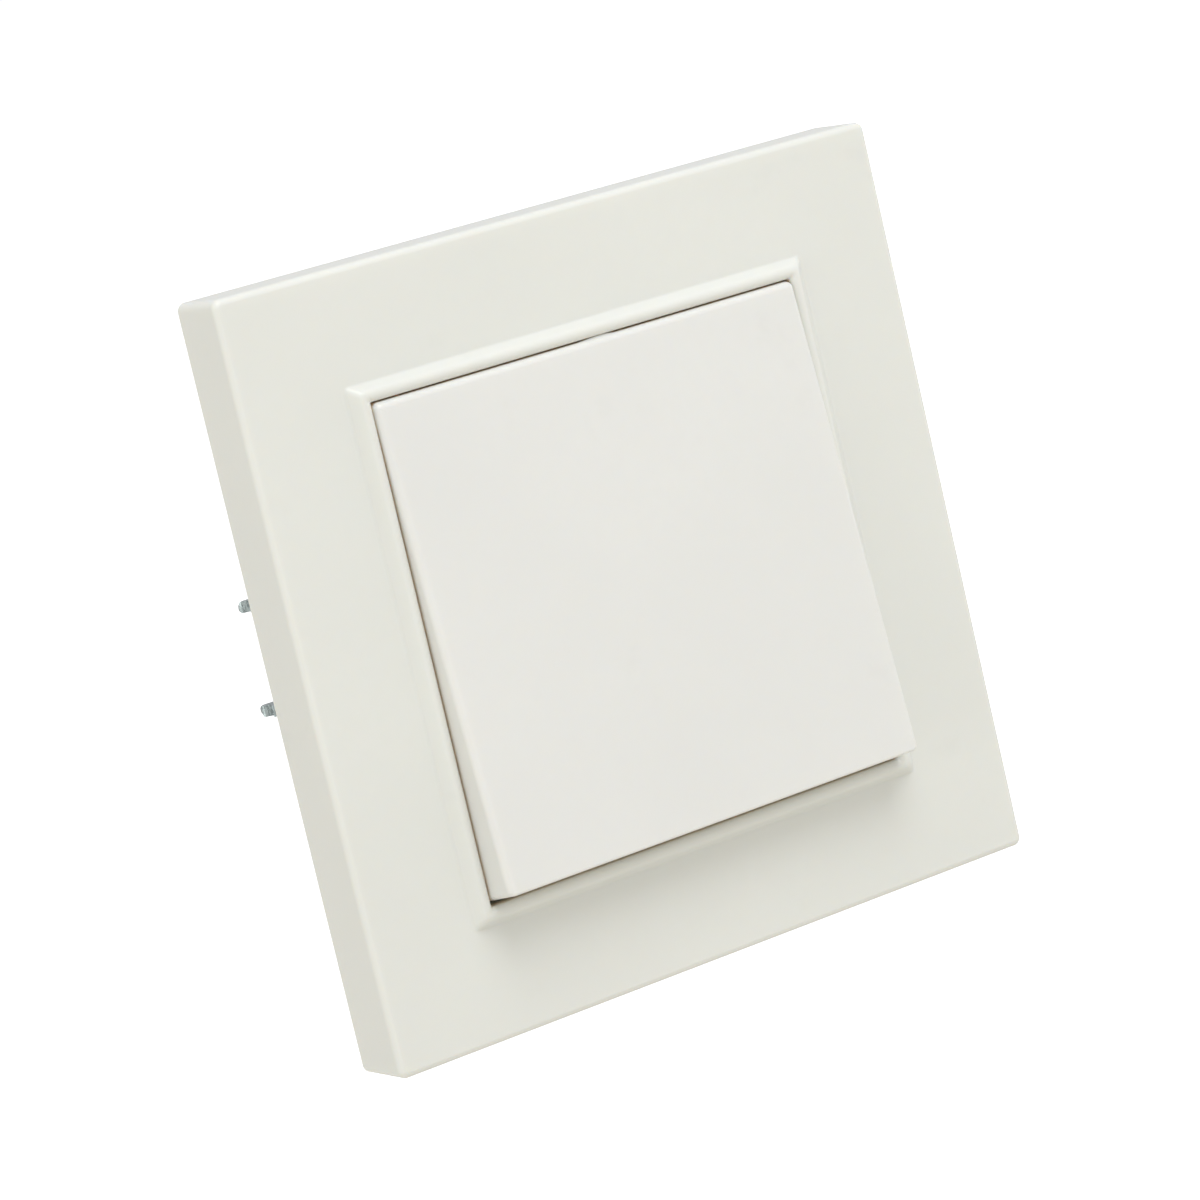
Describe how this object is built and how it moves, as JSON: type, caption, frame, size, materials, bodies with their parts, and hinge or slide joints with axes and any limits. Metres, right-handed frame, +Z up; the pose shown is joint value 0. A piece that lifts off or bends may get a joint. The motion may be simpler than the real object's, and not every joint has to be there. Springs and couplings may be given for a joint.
{
  "type": "rocker wall switch",
  "caption": "Flush-mounted rocker wall switch: square cover frame, tilting rocker, steel support ring with spreader claws, and a two-way contact insert.",
  "frame": {"origin": "centre of the wall plane, where the back rim of the cover frame meets the wall", "axes": "+X right as seen from the room, +Y into the wall, +Z up"},
  "size_m": [0.085, 0.0403, 0.085],
  "materials": {
    "ivory_frame": "satin ivory moulded plastic",
    "ivory_rocker": "satin ivory moulded plastic, slightly glossier than the frame",
    "white_plastic": "white moulded plastic",
    "grey_plastic": "light grey moulded plastic",
    "button_plastic": "mid grey moulded plastic",
    "zinc_steel": "bright zinc-plated sheet steel",
    "spring_steel": "stainless spring steel",
    "brass": "rolled brass strip",
    "silver": "fine silver contact"
  },
  "bodies": {
    "insert": {"cover_frame": "ivory_frame", "support_ring": "zinc_steel", "base_housing": "grey_plastic", "housing_cover": "white_plastic", "ring_rivet_upper_left": "zinc_steel", "ring_rivet_upper_right": "zinc_steel", "ring_rivet_lower_left": "zinc_steel", "ring_rivet_lower_right": "zinc_steel", "terminal_upper": "brass", "terminal_lower": "brass", "terminal_common": "brass", "clamp_spring_upper": "spring_steel", "clamp_spring_lower": "spring_steel", "clamp_spring_common": "spring_steel", "fixed_contact_upper": "silver", "fixed_contact_lower": "silver"},
    "rocker": {"rocker": "ivory_rocker", "rocker_carrier": "white_plastic", "plunger_spring": "spring_steel"},
    "plunger": {"plunger": "white_plastic"},
    "contact_lever": {"contact_lever": "brass", "moving_contact_upper": "silver", "moving_contact_lower": "silver"},
    "release_button_upper": {"release_button_upper": "button_plastic"},
    "release_button_lower": {"release_button_lower": "button_plastic"},
    "release_button_common": {"release_button_common": "button_plastic"},
    "claw_left": {"claw_left": "zinc_steel"},
    "claw_nut_left": {"claw_nut_left": "zinc_steel"},
    "claw_screw_left": {"claw_screw_left": "zinc_steel"},
    "claw_right": {"claw_right": "zinc_steel"},
    "claw_nut_right": {"claw_nut_right": "zinc_steel"},
    "claw_screw_right": {"claw_screw_right": "zinc_steel"}
  },
  "joints": [
    {"name": "rocker_tilt", "type": "hinge", "parent": "insert", "child": "rocker", "pos_m": [0, -0.0037, 0], "axis": [1, 0, 0], "range_deg": [0, 8.8]},
    {"name": "contact_flip", "type": "hinge", "parent": "insert", "child": "contact_lever", "pos_m": [0, 0.0125, 0], "axis": [1, 0, 0], "range_deg": [-14, 0]},
    {"name": "plunger_slide", "type": "slide", "parent": "rocker", "child": "plunger", "axis": [0, 0.9971, -0.0767], "range_m": [-0.001, 0], "stiffness_N_per_m": 400, "springref_m": 0.004, "deforming": ["plunger_spring"]},
    {"name": "release_upper_press", "type": "slide", "parent": "insert", "child": "release_button_upper", "axis": [0, -1, 0], "range_m": [0, 0.0015], "stiffness_N_per_m": 600, "springref_m": -0.001},
    {"name": "release_lower_press", "type": "slide", "parent": "insert", "child": "release_button_lower", "axis": [0, -1, 0], "range_m": [0, 0.0015], "stiffness_N_per_m": 600, "springref_m": -0.001},
    {"name": "release_common_press", "type": "slide", "parent": "insert", "child": "release_button_common", "axis": [0, -1, 0], "range_m": [0, 0.0015], "stiffness_N_per_m": 600, "springref_m": -0.001},
    {"name": "claw_nut_left_travel", "type": "slide", "parent": "insert", "child": "claw_nut_left", "axis": [0, -1, 0], "range_m": [-0.00075, 0.0005]},
    {"name": "claw_screw_left_turn", "type": "hinge", "parent": "insert", "child": "claw_screw_left", "pos_m": [-0.025, 0, 0], "axis": [0, 1, 0], "range_deg": [-541, 361]},
    {"name": "claw_left_swing", "type": "hinge", "parent": "insert", "child": "claw_left", "pos_m": [-0.0209, 0.0032, 0], "axis": [0, 0, 1], "range_deg": [-10.5, 7]},
    {"name": "claw_nut_right_travel", "type": "slide", "parent": "insert", "child": "claw_nut_right", "axis": [0, -1, 0], "range_m": [-0.00075, 0.0005]},
    {"name": "claw_screw_right_turn", "type": "hinge", "parent": "insert", "child": "claw_screw_right", "pos_m": [0.025, 0, 0], "axis": [0, 1, 0], "range_deg": [-541, 361]},
    {"name": "claw_right_swing", "type": "hinge", "parent": "insert", "child": "claw_right", "pos_m": [0.0209, 0.0032, 0], "axis": [0, 0, -1], "range_deg": [-10.5, 7]}
  ],
  "couplings": [
    {"joint": "contact_flip", "follows": "rocker_tilt", "ratio": -1.5909},
    {"joint": "claw_left_swing", "follows": "claw_nut_left_travel", "rad_per_m": 243.9},
    {"joint": "claw_screw_left_turn", "follows": "claw_nut_left_travel", "rad_per_m": 12566},
    {"joint": "claw_right_swing", "follows": "claw_nut_right_travel", "rad_per_m": 243.9},
    {"joint": "claw_screw_right_turn", "follows": "claw_nut_right_travel", "rad_per_m": 12566}
  ]
}
